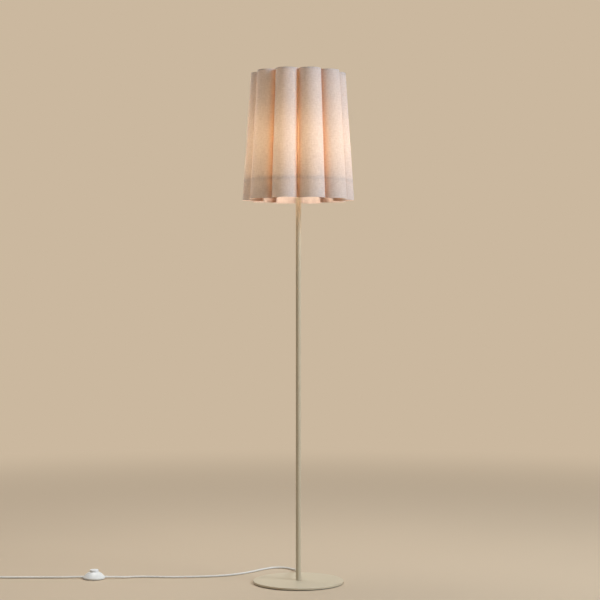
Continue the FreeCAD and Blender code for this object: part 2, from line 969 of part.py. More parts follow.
def make_cord_tie():
    """Flat band round all the turns on the coil's right side."""
    quarter = 0.75
    crossings = [coil_place_at(turn + quarter).x - coil_x for turn in range(int(coil_turns))]
    left = coil_x + min(crossings) - cord_radius - tie_gap
    right = coil_x + max(crossings) + cord_radius + tie_gap
    low = tie_thickness
    high = coil_level + coil_layer_rise + cord_radius + tie_gap
    inner = Part.makeBox(right - left, tie_width, high - low, V(left, coil_y - tie_width / 2, low))
    outer = Part.makeBox(
        right - left + 2 * tie_thickness,
        tie_width,
        high - low + 2 * tie_thickness,
        V(left - tie_thickness, coil_y - tie_width / 2, low - tie_thickness),
    )
    along = [edge for edge in outer.Edges if abs(edge.tangentAt(edge.FirstParameter).y) > 0.9]
    return outer.makeFillet(tie_thickness * 1.5, along).cut(inner)


# Plug

def at_plug(shape):
    shape.translate(V(*plug_end))
    return shape


def make_plug_body():
    half = plug_width / 2
    waist = plug_waist / 2
    shoulder = plug_boot_length + plug_shoulder
    face = plug_boot_length + plug_body_length
    corners = [
        (-waist, plug_boot_length), (-half, shoulder), (-half, face),
        (half, face), (half, shoulder), (waist, plug_boot_length), (-waist, plug_boot_length),
    ]
    outline = Part.makePolygon([V(x, y, -plug_thickness / 2) for x, y in corners])
    block = Part.Face(Part.Wire(outline)).extrude(V(0, 0, plug_thickness))
    block = block.makeFillet(plug_edge_round, block.Edges)
    tip = plug_boot_tip_diameter / 2
    root = plug_boot_diameter / 2
    boot_end_y = plug_boot_length + plug_edge_round
    boot = turned([(0, 0), (tip, 0), (root, plug_boot_length), (root, boot_end_y), (0, boot_end_y)])
    groove_step = plug_boot_length / (plug_boot_groove_count + 1)
    for index in range(plug_boot_groove_count):
        middle = groove_step * (index + 1)
        floor_radius = tip + (root - tip) * middle / plug_boot_length - plug_boot_groove_depth
        groove = pipe(root * 2, floor_radius, middle - groove_step / 4, middle + groove_step / 4)
        boot = boot.cut(groove)
    boot.rotate(V(0, 0, 0), V(1, 0, 0), -90)
    return at_plug(block.fuse(boot).removeSplitter())


def make_plug_pins():
    face = plug_boot_length + plug_body_length
    pins = []
    for side in (-1, 1):
        start = V(side * pin_spacing / 2, face, 0)
        pin = Part.makeCylinder(pin_diameter / 2, pin_length, start, V(0, 1, 0))
        far_edge = [edge for edge in pin.Edges if edge.CenterOfMass.y > face + pin_length * 0.9]
        pins.append(pin.makeFillet(pin_diameter * 0.3, far_edge))
    return at_plug(Part.makeCompound(pins))


parts = {
    "base_plate": make_base_plate,
    "base_felt": make_base_felt,
    "base_washer": make_base_washer,
    "base_bolt": make_base_bolt,
    "pole_lower": lambda: make_pole_section(0),
    "pole_middle": lambda: make_pole_section(1),
    "pole_upper": lambda: make_pole_section(2),
    "pole_lower_stud": lambda: make_pole_stud(1),
    "pole_upper_stud": lambda: make_pole_stud(2),
    "pole_foot_insert": make_pole_foot_insert,
    "pole_top_nipple": make_pole_top_nipple,
    "cord_bush": make_cord_bush,
    "inner_cord": make_inner_cord,
    "holder_cap": make_holder_cap,
    "holder_body": make_holder_body,
    "holder_core": make_holder_core,
    "holder_terminals": make_holder_terminals,
    "holder_leads": make_holder_leads,
    "holder_screw_shell": make_holder_screw_shell,
    "holder_contact": make_holder_contact,
    "shade_clamp_ring": make_shade_clamp_ring,
    "bulb_tip": make_bulb_tip,
    "bulb_insulator": make_bulb_insulator,
    "bulb_cap": make_bulb_cap,
    "bulb_housing": make_bulb_housing,
    "bulb_led_board": make_bulb_led_board,
    "bulb_globe": make_bulb_globe,
    "shade_fabric": make_shade_fabric,
    "shade_lower_ring": lambda: make_shade_ring(shade_bottom + lower_ring_height),
    "shade_upper_ring": lambda: make_shade_ring(shade_top - upper_ring_inset),
    "shade_spider_arms": make_shade_spider_arms,
    "shade_fitter_ring": make_shade_fitter_ring,
    "switch_base": make_switch_base,
    "switch_cover": make_switch_cover,
    "switch_button": make_switch_button,
    "switch_mechanism": make_switch_mechanism,
    "switch_spring": make_switch_spring,
    "switch_screws": make_switch_screws,
    "switch_pads": make_switch_pads,
    "switch_boots": make_switch_boots,
    "switch_leads": make_switch_leads,
    "cord_to_switch": make_cord_to_switch,
    "cord_to_coil": make_cord_to_coil,
    "cord_coil": make_cord_coil,
    "cord_tie": make_cord_tie,
    "cord_tail": make_cord_tail,
    "plug_body": make_plug_body,
    "plug_pins": make_plug_pins,
}

os.makedirs("parts", exist_ok=True)
for name, make in parts.items():
    shape = make()
    if not shape.isValid():
        print(f"{name}: not valid")
    print(f"{name}: {len(shape.Solids)} solids, {shape.Volume:.0f} mm3")
    shape.exportStep(f"parts/{name}.step")
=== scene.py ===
import bmesh
import bpy
import math
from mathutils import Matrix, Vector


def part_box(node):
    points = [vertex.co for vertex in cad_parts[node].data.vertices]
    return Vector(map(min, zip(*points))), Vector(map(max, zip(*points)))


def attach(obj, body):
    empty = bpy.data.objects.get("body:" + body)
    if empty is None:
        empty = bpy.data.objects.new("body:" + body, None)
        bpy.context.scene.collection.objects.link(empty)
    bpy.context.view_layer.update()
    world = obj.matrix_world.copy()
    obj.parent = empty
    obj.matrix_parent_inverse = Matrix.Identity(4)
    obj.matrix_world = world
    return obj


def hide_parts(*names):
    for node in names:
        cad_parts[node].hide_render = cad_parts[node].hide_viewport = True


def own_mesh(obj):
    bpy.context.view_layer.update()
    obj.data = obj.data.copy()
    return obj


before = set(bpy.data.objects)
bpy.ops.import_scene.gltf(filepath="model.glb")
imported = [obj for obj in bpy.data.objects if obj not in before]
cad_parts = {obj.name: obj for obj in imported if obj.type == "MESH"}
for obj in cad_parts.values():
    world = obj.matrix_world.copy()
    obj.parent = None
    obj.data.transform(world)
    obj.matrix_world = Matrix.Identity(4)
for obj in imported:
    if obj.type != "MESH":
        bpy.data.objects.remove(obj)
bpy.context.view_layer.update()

# Felt pad
# A die-cut disc of pressed wool felt, glued under the base plate so that the steel doesn't
# mark the floor. A hole in its middle leaves the bolt within reach.

felt_diameter = 0.274
felt_hole_diameter = 0.034
felt_thickness = 0.002
felt_steps = 180
felt_ravel = 0.0004
felt_ravel_waves = (37, 61)
felt_sheen = 0.4


def add_node(tree, kind, feeds=None, **settings):
    """A node with its settings; feeds gives inputs as plain values or other nodes' outputs."""
    node = tree.nodes.new(kind)
    for key, value in settings.items():
        setattr(node, key, value)
    for key, value in (feeds or {}).items():
        if isinstance(value, bpy.types.NodeSocket):
            tree.links.new(value, node.inputs[key])
        else:
            node.inputs[key].default_value = value
    return node


def tint(red, green, blue):
    """Linear colour from the 0 to 255 values of a colour sample."""
    linear = []
    for level in (red, green, blue):
        share = level / 255
        linear.append(share / 12.92 if share < 0.04045 else ((share + 0.055) / 1.055) ** 2.4)
    return (*linear, 1)


def two_tone(tree, share, deep, pale):
    """Colour between two tones, by a share from nought to one."""
    ramp = add_node(tree, "ShaderNodeValToRGB", {"Fac": share})
    ramp.color_ramp.elements[0].color = deep
    ramp.color_ramp.elements[1].color = pale
    return ramp.outputs["Color"]


def grained_finish(name, pale, deep, grain, roughness, relief, metallic=0.0):
    """A finish whose colour, gloss and surface vary over a grain, in grains per metre.
    Roughness is its least and greatest value, and relief is the surface's depth in metres."""
    grains_to_a_patch = 15
    tone_range = (0.7, 1.3)
    patch_range = (0.3, 0.7)
    material = bpy.data.materials.new(name)
    material.use_nodes = True
    tree = material.node_tree
    surface = tree.nodes["Principled BSDF"]
    surface.inputs["Metallic"].default_value = metallic
    place = add_node(tree, "ShaderNodeTexCoord").outputs["Object"]
    broad = add_node(tree, "ShaderNodeTexNoise", {
        "Vector": place, "Scale": grain / grains_to_a_patch, "Detail": 4.0,
    })
    fine = add_node(tree, "ShaderNodeTexNoise", {"Vector": place, "Scale": grain, "Detail": 5.0})
    both = add_node(tree, "ShaderNodeMath", {
        0: broad.outputs["Fac"], 1: fine.outputs["Fac"],
    }, operation="ADD")
    tone_share = add_node(tree, "ShaderNodeMapRange", {
        "Value": both.outputs[0], "From Min": tone_range[0], "From Max": tone_range[1],
    })
    colour = two_tone(tree, tone_share.outputs[0], deep, pale)
    gloss = add_node(tree, "ShaderNodeMapRange", {
        "Value": broad.outputs["Fac"], "From Min": patch_range[0], "From Max": patch_range[1],
        "To Min": roughness[0], "To Max": roughness[1],
    })
    bump = add_node(tree, "ShaderNodeBump", {
        "Height": fine.outputs["Fac"], "Strength": 1.0, "Distance": relief,
    })
    tree.links.new(colour, surface.inputs["Base Color"])
    tree.links.new(gloss.outputs[0], surface.inputs["Roughness"])
    tree.links.new(bump.outputs["Normal"], surface.inputs["Normal"])
    return material


def placed(name, mesh, material, body, slot, *nodes):
    """Puts a finished mesh in the scene on its body, in the place of CAD nodes."""
    piece = bpy.data.objects.new(name, mesh)
    bpy.context.scene.collection.objects.link(piece)
    mesh.materials.clear()
    mesh.materials.append(material)
    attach(piece, body)
    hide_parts(*nodes)
    return piece


def ring_mesh(name, outline, steps, waver=lambda turn: 0.0):
    """Mesh of revolution about Z of a closed outline of (radius, height) corners."""
    sharp_angle = math.radians(35)
    work = bmesh.new()
    loops = []
    for step in range(steps):
        angle = 2 * math.pi * step / steps
        loop = []
        for radius, height in outline:
            reach = radius + waver(angle)
            loop.append(work.verts.new((reach * math.cos(angle), reach * math.sin(angle), height)))
        loops.append(loop)
    for here, there in zip(loops, loops[1:] + loops[:1]):
        for index in range(len(outline)):
            after = (index + 1) % len(outline)
            work.faces.new((here[index], there[index], there[after], here[after]))
    bmesh.ops.recalc_face_normals(work, faces=work.faces)
    mesh = bpy.data.meshes.new(name)
    work.to_mesh(mesh)
    work.free()
    mesh.shade_smooth()
    mesh.set_sharp_from_angle(angle=sharp_angle)
    return mesh


def ravelled_edge(angle):
    """Small unevenness of a die-cut felt edge."""
    long_waves, short_waves = felt_ravel_waves
    return felt_ravel * (math.sin(long_waves * angle) + math.sin(short_waves * angle + 1)) / 2


felt_finish = grained_finish(
    "pressed_felt", tint(86, 82, 76), tint(58, 55, 50),
    grain=2600, roughness=(0.9, 1.0), relief=0.0005,
)
felt_surface = felt_finish.node_tree.nodes["Principled BSDF"]
felt_surface.inputs["Sheen Weight"].default_value = felt_sheen
felt_outer = felt_diameter / 2
felt_inner = felt_hole_diameter / 2
felt_round = felt_thickness / 4
felt_outline = [
    (felt_inner, 0.0),
    (felt_outer - felt_round, 0.0),
    (felt_outer, felt_round),
    (felt_outer, felt_thickness - felt_round),
    (felt_outer - felt_round, felt_thickness),
    (felt_inner, felt_thickness),
]
felt_pad = placed(
    "felt_pad", ring_mesh("felt_pad", felt_outline, felt_steps, ravelled_edge),
    felt_finish, "lamp", "felt", "base_felt",
)

# Base plate and pole
# A round 6 mm steel plate and three steel tubes, all powder-coated in one satin sand colour.
# The tubes butt end to end on hidden studs, so a hairline shows at each joint.

pole_diameter = 0.016
pole_bore = 0.013
tube_end_round = 0.0004
tube_steps = 64


def dress(node, material):
    """Gives a CAD node its finish."""
    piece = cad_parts[node]
    piece.data.materials.clear()
    piece.data.materials.append(material)


sand_coat = grained_finish(
    "sand_powder_coat", tint(208, 196, 171), tint(201, 189, 164),
    grain=350, roughness=(0.32, 0.42), relief=0.000004,
)
dress("base_plate", sand_coat)

for node in ("pole_lower", "pole_middle", "pole_upper"):
    low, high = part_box(node)
    outer = pole_diameter / 2
    tube_outline = [
        (pole_bore / 2, low.z),
        (outer - tube_end_round, low.z),
        (outer, low.z + tube_end_round),
        (outer, high.z - tube_end_round),
        (outer - tube_end_round, high.z),
        (pole_bore / 2, high.z),
    ]
    tube = ring_mesh(f"{node}_tube", tube_outline, tube_steps)
    placed(f"{node}_tube", tube, sand_coat, "lamp", "painted_steel", node)

# Bolt, washer, studs and inserts
# Zinc-plated steel turnings that hold the base and the pole's tubes together. Only the bolt
# and its washer can be seen, from below.

zinc_plate = grained_finish(
    "zinc_plate", tint(196, 198, 200), tint(168, 170, 173),
    grain=900, roughness=(0.28, 0.46), relief=0.00001, metallic=1.0,
)
for node in (
    "base_bolt", "base_washer", "pole_lower_stud", "pole_upper_stud",
    "pole_foot_insert", "pole_top_nipple",
):
    dress(node, zinc_plate)

# Cord bush and the cord inside the pole
# A moulded strain relief snapped into the rear of the pole, and the cord's white sheath that
# turns up inside it and runs to the lampholder.

cord_diameter = 0.006
bush_reach = 0.032
cord_exit_height = 0.035
inner_cord_bend = 0.012
inner_cord_top = 1.256

moulded_white = grained_finish(
    "moulded_white", tint(238, 238, 235), tint(228, 228, 224),
    grain=700, roughness=(0.3, 0.42), relief=0.000006,
)
dress("cord_bush", moulded_white)

cord_sheath = grained_finish(
    "cord_sheath", tint(236, 235, 231), tint(224, 222, 217),
    grain=1200, roughness=(0.38, 0.5), relief=0.00001,
)


def lay_cord(name, points):
    """Round cord along one smooth open spline through its route's points."""
    curve = bpy.data.curves.new(name, "CURVE")
    curve.dimensions = "3D"
    curve.bevel_depth = cord_diameter / 2
    curve.bevel_resolution = 5
    curve.resolution_u = 10
    curve.use_fill_caps = True
    spline = curve.splines.new("NURBS")
    spline.points.add(len(points) - 1)
    for point, place in zip(spline.points, points):
        point.co = (*place, 1)
    spline.order_u = 3
    spline.use_endpoint_u = True
    curve.materials.append(cord_sheath)
    piece = bpy.data.objects.new(name, curve)
    bpy.context.scene.collection.objects.link(piece)
    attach(piece, "lamp")
    return piece


inner_cord = lay_cord("cord_in_pole", [
    (0.0, bush_reach, cord_exit_height),
    (0.0, inner_cord_bend, cord_exit_height),
    (0.0, 0.0, cord_exit_height),
    (0.0, 0.0, cord_exit_height + inner_cord_bend),
    (0.0, 0.0, inner_cord_top),
])
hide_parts("inner_cord")

# Lampholder
# A two-part moulded holder screwed on the pole's nipple, with a porcelain core, a nickel-plated
# screw shell, a springy brass contact and two brass terminals for the cord's cores.

porcelain = grained_finish(
    "glazed_porcelain", tint(240, 236, 226), tint(229, 224, 212),
    grain=300, roughness=(0.12, 0.2), relief=0.00002,
)
brass = grained_finish(
    "rolled_brass", tint(205, 170, 104), tint(178, 142, 82),
    grain=700, roughness=(0.25, 0.4), relief=0.00001, metallic=1.0,
)
nickel = grained_finish(
    "nickel_plate", tint(205, 203, 197), tint(180, 178, 171),
    grain=800, roughness=(0.18, 0.32), relief=0.000008, metallic=1.0,
)
core_insulation = grained_finish(
    "core_insulation", tint(120, 78, 52), tint(98, 62, 40),
    grain=1200, roughness=(0.4, 0.55), relief=0.00001,
)
for node, finish in (
    ("holder_cap", moulded_white),
    ("holder_body", moulded_white),
    ("holder_core", porcelain),
    ("holder_terminals", brass),
    ("holder_contact", brass),
    ("holder_screw_shell", nickel),
    ("holder_leads", core_insulation),
):
    dress(node, finish)

# Shade clamp ring
# A moulded nut on the holder's outer thread that clamps the shade's fitter. Its skirt has
# upright ribs for the fingers.

rib_count = 40
rib_circle_radius = 0.0235
rib_radius = 0.0008
rib_length = 0.0095
rib_middle = 1.28675
rib_sides = 10


def as_piece(tree, sizes, name, material, body, slot, *nodes):
    """Runs a node tree with its named sizes once and keeps what it makes as a plain piece."""
    seed_mesh = bpy.data.meshes.new(f"{name}_start")
    maker = bpy.data.objects.new(f"{name}_start", seed_mesh)
    bpy.context.scene.collection.objects.link(maker)
    modifier = maker.modifiers.new(name, "NODES")
    modifier.node_group = tree
    for item in tree.interface.items_tree:
        if item.item_type == "SOCKET" and item.in_out == "INPUT" and item.name in sizes:
            modifier[item.identifier] = sizes[item.name]
    depsgraph = bpy.context.evaluated_depsgraph_get()
    mesh = bpy.data.meshes.new_from_object(maker.evaluated_get(depsgraph), depsgraph=depsgraph)
    mesh.name = name
    maker.modifiers.remove(modifier)
    bpy.data.objects.remove(maker)
    bpy.data.meshes.remove(seed_mesh)
    return placed(name, mesh, material, body, slot, *nodes)


def new_tree(name, sizes):
    """Geometry tree with named size inputs; returns it, its inputs' sockets and a closing call."""
    tree = bpy.data.node_groups.new(name, "GeometryNodeTree")
    tree.interface.new_socket("Geometry", in_out="OUTPUT", socket_type="NodeSocketGeometry")
    for size, value in sizes.items():
        kind = "NodeSocketInt" if isinstance(value, int) else "NodeSocketFloat"
        tree.interface.new_socket(size, in_out="INPUT", socket_type=kind)
    inputs = add_node(tree, "NodeGroupInput").outputs

    def close(geometry, material):
        realized = add_node(tree, "GeometryNodeRealizeInstances", {"Geometry": geometry})
        painted = add_node(
            tree, "GeometryNodeSetMaterial",
            {"Geometry": realized.outputs[0], "Material": material},
        )
        result = add_node(tree, "NodeGroupOutput")
        tree.links.new(painted.outputs[0], result.inputs[0])

    return tree, inputs, close


dress("shade_clamp_ring", moulded_white)
rib_sizes = {
    "Ribs": rib_count, "Circle Radius": rib_circle_radius, "Rib Radius": rib_radius,
    "Rib Length": rib_length, "Height": rib_middle,
}
rib_tree, size, close_tree = new_tree("clamp_ring_ribs", rib_sizes)
rib_bar = add_node(rib_tree, "GeometryNodeMeshCylinder", {
    "Vertices": rib_sides, "Radius": size["Rib Radius"], "Depth": size["Rib Length"],
})
rib_circle = add_node(rib_tree, "GeometryNodeMeshCircle", {
    "Vertices": size["Ribs"], "Radius": size["Circle Radius"],
})
rib_level = add_node(rib_tree, "ShaderNodeCombineXYZ", {"Z": size["Height"]})
rib_places = add_node(rib_tree, "GeometryNodeSetPosition", {
    "Geometry": rib_circle.outputs[0], "Offset": rib_level.outputs[0],
})
ribs = add_node(rib_tree, "GeometryNodeInstanceOnPoints", {
    "Points": rib_places.outputs[0], "Instance": rib_bar.outputs["Mesh"],
})
close_tree(ribs.outputs[0], moulded_white)
as_piece(rib_tree, rib_sizes, "clamp_ring_ribs", moulded_white, "lamp", "white_plastic")

# Shade frame
# Two steel wire rings bent to the shade's scallops, five spider arms and a flat fitter ring,
# spot-welded together and coated white. The beads are the welds at the arms' two ends.

bead_size = 0.0026
arm_count = 5
arm_turn = math.radians(18)
arm_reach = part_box("shade_spider_arms")[1].y
ring_level = 1.252
fitter_weld_reach = 0.0245
fitter_weld_level = 1.2765

white_wire = grained_finish(
    "white_coated_wire", tint(232, 229, 221), tint(220, 216, 207),
    grain=900, roughness=(0.36, 0.5), relief=0.00001,
)
for node in ("shade_lower_ring", "shade_upper_ring", "shade_spider_arms", "shade_fitter_ring"):
    dress(node, white_wire)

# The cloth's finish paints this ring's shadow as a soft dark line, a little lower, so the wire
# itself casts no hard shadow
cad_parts["shade_lower_ring"].visible_shadow = False

weld_sizes = {"Arms": arm_count, "Reach": arm_reach, "Level": ring_level, "Bead": bead_size}
weld_tree, size, close_tree = new_tree("arm_welds", weld_sizes)
weld_circle = add_node(weld_tree, "GeometryNodeMeshCircle", {
    "Vertices": size["Arms"], "Radius": size["Reach"],
})
weld_level = add_node(weld_tree, "ShaderNodeCombineXYZ", {"Z": size["Level"]})
weld_ring = add_node(weld_tree, "GeometryNodeTransform", {
    "Geometry": weld_circle.outputs[0], "Translation": weld_level.outputs[0],
    "Rotation": (0, 0, arm_turn),
})
weld_bead = add_node(weld_tree, "GeometryNodeMeshIcoSphere", {
    "Radius": size["Bead"], "Subdivisions": 3,
})
welds = add_node(weld_tree, "GeometryNodeInstanceOnPoints", {
    "Points": weld_ring.outputs[0], "Instance": weld_bead.outputs[0],
})
close_tree(welds.outputs[0], white_wire)
as_piece(weld_tree, weld_sizes, "ring_welds", white_wire, "shade", "white_wire")
fitter_weld_sizes = dict(weld_sizes, Reach=fitter_weld_reach, Level=fitter_weld_level)
as_piece(weld_tree, fitter_weld_sizes, "fitter_welds", white_wire, "shade", "white_wire")

# Shade
# One long strip of woven cloth on a stiff translucent backing, bent into ten round lobes with
# a narrow fold between each two, glued to the wire rings and closed by a seam at the rear.
# Below the lower ring the cloth is turned up inside, so the lamp shines through it less.

shade_sizes = {
    "Lobes": 10, "Bottom Diameter": 0.346, "Top Diameter": 0.293, "Foot": 1.185,
    "Height": 0.394, "Wall": 0.0009, "Fold Gap": 0.002, "Fold Radius": 0.0025,
    "Lobe Steps": 32, "Fold Steps": 6, "Rows": 24, "First Lobe": math.radians(108),
    "Strip Length": 1.68, "Waver": 0.0012, "Waver Scale": 14.0, "Flank Start": 0.45, "Flank End": 0.8,
}
seam_closing_distance = 0.00002
crease_angle = math.radians(50)
shade_tree, size, close_tree = new_tree("scalloped_shade", shade_sizes)


def reckon(operation, *values):
    """Result of a sum on numbers or sockets in the shade's tree."""
    return add_node(shade_tree, "ShaderNodeMath", dict(enumerate(values)), operation=operation).outputs[0]


pitch_steps = reckon("ADD", size["Lobe Steps"], size["Fold Steps"])
columns = reckon("MULTIPLY", pitch_steps, size["Lobes"])
up_and_down = reckon("MULTIPLY_ADD", size["Rows"], 2.0, 2.0)
grid = add_node(shade_tree, "GeometryNodeMeshGrid", {
    "Size X": columns, "Size Y": up_and_down,
    "Vertices X": reckon("ADD", columns, 1.0), "Vertices Y": reckon("ADD", up_and_down, 1.0),
})
grid_place = add_node(shade_tree, "ShaderNodeSeparateXYZ", {
    "Vector": add_node(shade_tree, "GeometryNodeInputPosition").outputs[0],
})
column = reckon("ROUND", reckon("MULTIPLY_ADD", columns, 0.5, grid_place.outputs["X"]))
row = reckon("ROUND", reckon("MULTIPLY_ADD", up_and_down, 0.5, grid_place.outputs["Y"]))

# Up the outer face, over the top edge, down the inner face and under the bottom edge
on_outside = reckon("LESS_THAN", row, reckon("ADD", size["Rows"], 0.5))
last_inside = reckon("MULTIPLY_ADD", size["Rows"], 2.0, 1.0)
on_inside = reckon("MULTIPLY", reckon("SUBTRACT", 1.0, on_outside), reckon(
    "LESS_THAN", row, reckon("ADD", last_inside, 0.5)
))
rows_up = reckon("ADD", reckon("MULTIPLY", on_outside, row), reckon(
    "MULTIPLY", on_inside, reckon("SUBTRACT", last_inside, row)
))
share_up = reckon("DIVIDE", rows_up, size["Rows"])
inset = reckon("MULTIPLY", on_inside, size["Wall"])
height = reckon("MULTIPLY_ADD", share_up, size["Height"], size["Foot"])
taper = reckon("SUBTRACT", size["Top Diameter"], size["Bottom Diameter"])
radius = reckon("MULTIPLY", reckon("MULTIPLY_ADD", share_up, taper, size["Bottom Diameter"]), 0.5)

# Lobe and fold circles that touch each other at this height
half_pitch = reckon("DIVIDE", math.pi, size["Lobes"])
sine = reckon("SINE", half_pitch)
cosine = reckon("COSINE", half_pitch)
half_gap = reckon("MULTIPLY", size["Fold Gap"], 0.5)
lobe_radius = reckon(
    "DIVIDE", reckon("SUBTRACT", reckon("MULTIPLY", radius, sine), half_gap), reckon("ADD", sine, 1.0)
)
lobe_reach = reckon("SUBTRACT", radius, lobe_radius)
across = reckon("MULTIPLY", lobe_reach, sine)
centres_apart = reckon("ADD", lobe_radius, size["Fold Radius"])
inward = reckon("SQRT", reckon(
    "SUBTRACT", reckon("MULTIPLY", centres_apart, centres_apart), reckon("MULTIPLY", across, across)
))
fold_reach = reckon("SUBTRACT", reckon("MULTIPLY", lobe_reach, cosine), inward)
fold_x = reckon("MULTIPLY", fold_reach, cosine)
fold_y = reckon("MULTIPLY", fold_reach, sine)
spread = reckon("ARCTAN2", fold_y, reckon("SUBTRACT", fold_x, lobe_reach))

# Place on the lobe or on the fold after it, and then the lobe's own turn about the axis
lobe_number = reckon("FLOOR", reckon("DIVIDE", reckon("ADD", column, 0.1), pitch_steps))
step = reckon("SUBTRACT", column, reckon("MULTIPLY", lobe_number, pitch_steps))
on_lobe = reckon("LESS_THAN", step, reckon("ADD", size["Lobe Steps"], 0.5))
on_fold = reckon("SUBTRACT", 1.0, on_lobe)
lobe_share = reckon("MULTIPLY_ADD", reckon("DIVIDE", step, size["Lobe Steps"]), 2.0, -1.0)
lobe_angle = reckon("MULTIPLY", lobe_share, spread)
fold_share = reckon("DIVIDE", reckon("SUBTRACT", step, size["Lobe Steps"]), size["Fold Steps"])
fold_swing = reckon("MULTIPLY", reckon("MULTIPLY_ADD", fold_share, -2.0, 1.0), reckon(
    "SUBTRACT", spread, half_pitch
))
fold_angle = reckon("ADD", reckon("ADD", half_pitch, math.pi), fold_swing)
bend_angle = reckon("ADD", reckon("MULTIPLY", on_lobe, lobe_angle), reckon("MULTIPLY", on_fold, fold_angle))
lobe_bend = reckon("SUBTRACT", lobe_radius, inset)
fold_bend = reckon("ADD", size["Fold Radius"], inset)
bend_radius = reckon("ADD", reckon("MULTIPLY", on_lobe, lobe_bend), reckon("MULTIPLY", on_fold, fold_bend))
centre_x = reckon("ADD", reckon("MULTIPLY", on_lobe, lobe_reach), reckon("MULTIPLY", on_fold, fold_x))
centre_y = reckon("MULTIPLY", on_fold, fold_y)
strip_place = add_node(shade_tree, "ShaderNodeCombineXYZ", {
    "X": reckon("MULTIPLY_ADD", bend_radius, reckon("COSINE", bend_angle), centre_x),
    "Y": reckon("MULTIPLY_ADD", bend_radius, reckon("SINE", bend_angle), centre_y),
    "Z": height,
})
turned_place = add_node(shade_tree, "ShaderNodeVectorRotate", {
    "Vector": strip_place.outputs[0],
    "Angle": reckon("MULTIPLY_ADD", reckon("MULTIPLY", half_pitch, 2.0), lobe_number, size["First Lobe"]),
}, rotation_type="Z_AXIS")

# Weave coordinates in metres along the strip and up it
strip_share = reckon("DIVIDE", column, columns)
weave_place = add_node(shade_tree, "ShaderNodeCombineXYZ", {
    "X": reckon("MULTIPLY", strip_share, size["Strip Length"]),
    "Y": reckon("MULTIPLY", share_up, size["Height"]),
})
woven = add_node(shade_tree, "GeometryNodeStoreNamedAttribute", {
    "Geometry": grid.outputs["Mesh"], "Name": "weave", "Value": weave_place.outputs[0],
}, data_type="FLOAT2", domain="CORNER")
lined = add_node(shade_tree, "GeometryNodeStoreNamedAttribute", {
    "Geometry": woven.outputs[0], "Name": "lining", "Value": on_inside,
}, data_type="FLOAT", domain="POINT")

# How far a place lies into the lobe's flank, from nought on its front to one beside the fold;
# the cloth's finish paints light into the flanks with it
flank_share = add_node(shade_tree, "ShaderNodeMapRange", {
    "Value": reckon("ABSOLUTE", lobe_share),
    "From Min": size["Flank Start"], "From Max": size["Flank End"],
}, interpolation_type="SMOOTHSTEP").outputs[0]
flanked = add_node(shade_tree, "GeometryNodeStoreNamedAttribute", {
    "Geometry": lined.outputs[0], "Name": "flank", "Value": reckon("MULTIPLY", on_lobe, flank_share),
}, data_type="FLOAT", domain="POINT")
bent = add_node(shade_tree, "GeometryNodeSetPosition", {
    "Geometry": flanked.outputs[0], "Position": turned_place.outputs[0],
})
closed = add_node(shade_tree, "GeometryNodeMergeByDistance", {
    "Geometry": bent.outputs[0], "Distance": seam_closing_distance,
})

# Slight unevenness of a strip that was bent by hand, the same on both faces
waver = add_node(shade_tree, "ShaderNodeTexNoise", {"Scale": size["Waver Scale"], "Detail": 1.0})
swing = reckon("MULTIPLY", reckon("SUBTRACT", waver.outputs["Fac"], 0.5), size["Waver"])
outward = add_node(shade_tree, "ShaderNodeVectorMath", {
    0: add_node(shade_tree, "GeometryNodeInputPosition").outputs[0], 1: (1.0, 1.0, 0.0),
}, operation="MULTIPLY")
heading = add_node(shade_tree, "ShaderNodeVectorMath", {0: outward.outputs[0]}, operation="NORMALIZE")
shift = add_node(
    shade_tree, "ShaderNodeVectorMath", {0: heading.outputs[0], "Scale": swing}, operation="SCALE"
)
wavy = add_node(shade_tree, "GeometryNodeSetPosition", {
    "Geometry": closed.outputs[0], "Offset": shift.outputs[0],
})
edge_angle = add_node(shade_tree, "GeometryNodeInputMeshEdgeAngle").outputs["Unsigned Angle"]
creased = add_node(shade_tree, "GeometryNodeSetShadeSmooth", {
    "Geometry": wavy.outputs[0], "Shade Smooth": reckon("LESS_THAN", edge_angle, crease_angle),
}, domain="EDGE")

thread_pitch = 0.0012
slub_weight = 0.34
mottle_weight = 0.32
speckle_range = (0.38, 0.62)
weave_depth = 0.00025
weave_strength = 0.6
mottle_relief = 1.2
cloth_roughness = 0.85
cloth_sheen = 0.15
cloth_pale = tint(225, 222, 226)
cloth_deep = tint(204, 200, 203)
# The lining's tones are darker than the real white backing, as painted shade inside the shade
lining_pale_painted_shade = tint(186, 167, 158)
lining_deep_painted_shade = tint(172, 153, 143)
glow_pale = (0.97, 0.82, 0.63, 1)
glow_deep = (0.86, 0.7, 0.52, 1)
cloth_translucence = 0.3
# Painted light in the lobes' flanks: more light through and a warmer glow
painted_flank_translucence = 0.45
painted_flank_tint = (1.0, 0.8, 0.58)
hem_top = 1.2465
hem_dimming = 0.965
hem_blur = 0.004
# Painted shadow of the lower ring, a soft dark line in the glow
painted_ring_shadow_level = 1.247
painted_ring_shadow_width = 0.01
painted_ring_shadow_waver = 0.005
painted_ring_shadow_dip = 0.0035
painted_ring_shadow_dimming = 0.8
seam_overlap = 0.009

shade_cloth = bpy.data.materials.new("shade_cloth")
shade_cloth.use_nodes = True
cloth_tree = shade_cloth.node_tree
cloth_face = cloth_tree.nodes["Principled BSDF"]
cloth_face.inputs["Roughness"].default_value = cloth_roughness
cloth_face.inputs["Sheen Weight"].default_value = cloth_sheen
weave_at = add_node(cloth_tree, "ShaderNodeUVMap", uv_map="weave").outputs["UV"]


def cloth_noise(along, up, detail):
    """Noise on the weave with its own grain along the strip and up it."""
    stretched = add_node(cloth_tree, "ShaderNodeMapping", {
        "Vector": weave_at, "Scale": (along, up, 1.0),
    })
    noise = add_node(cloth_tree, "ShaderNodeTexNoise", {
        "Vector": stretched.outputs[0], "Scale": 1.0, "Detail": detail, "Roughness": 0.6,
    })
    return noise.outputs["Fac"]


def cloth_sum(operation, *values):
    """Result of a sum on numbers or sockets in the cloth's finish."""
    return add_node(cloth_tree, "ShaderNodeMath", dict(enumerate(values)), operation=operation).outputs[0]


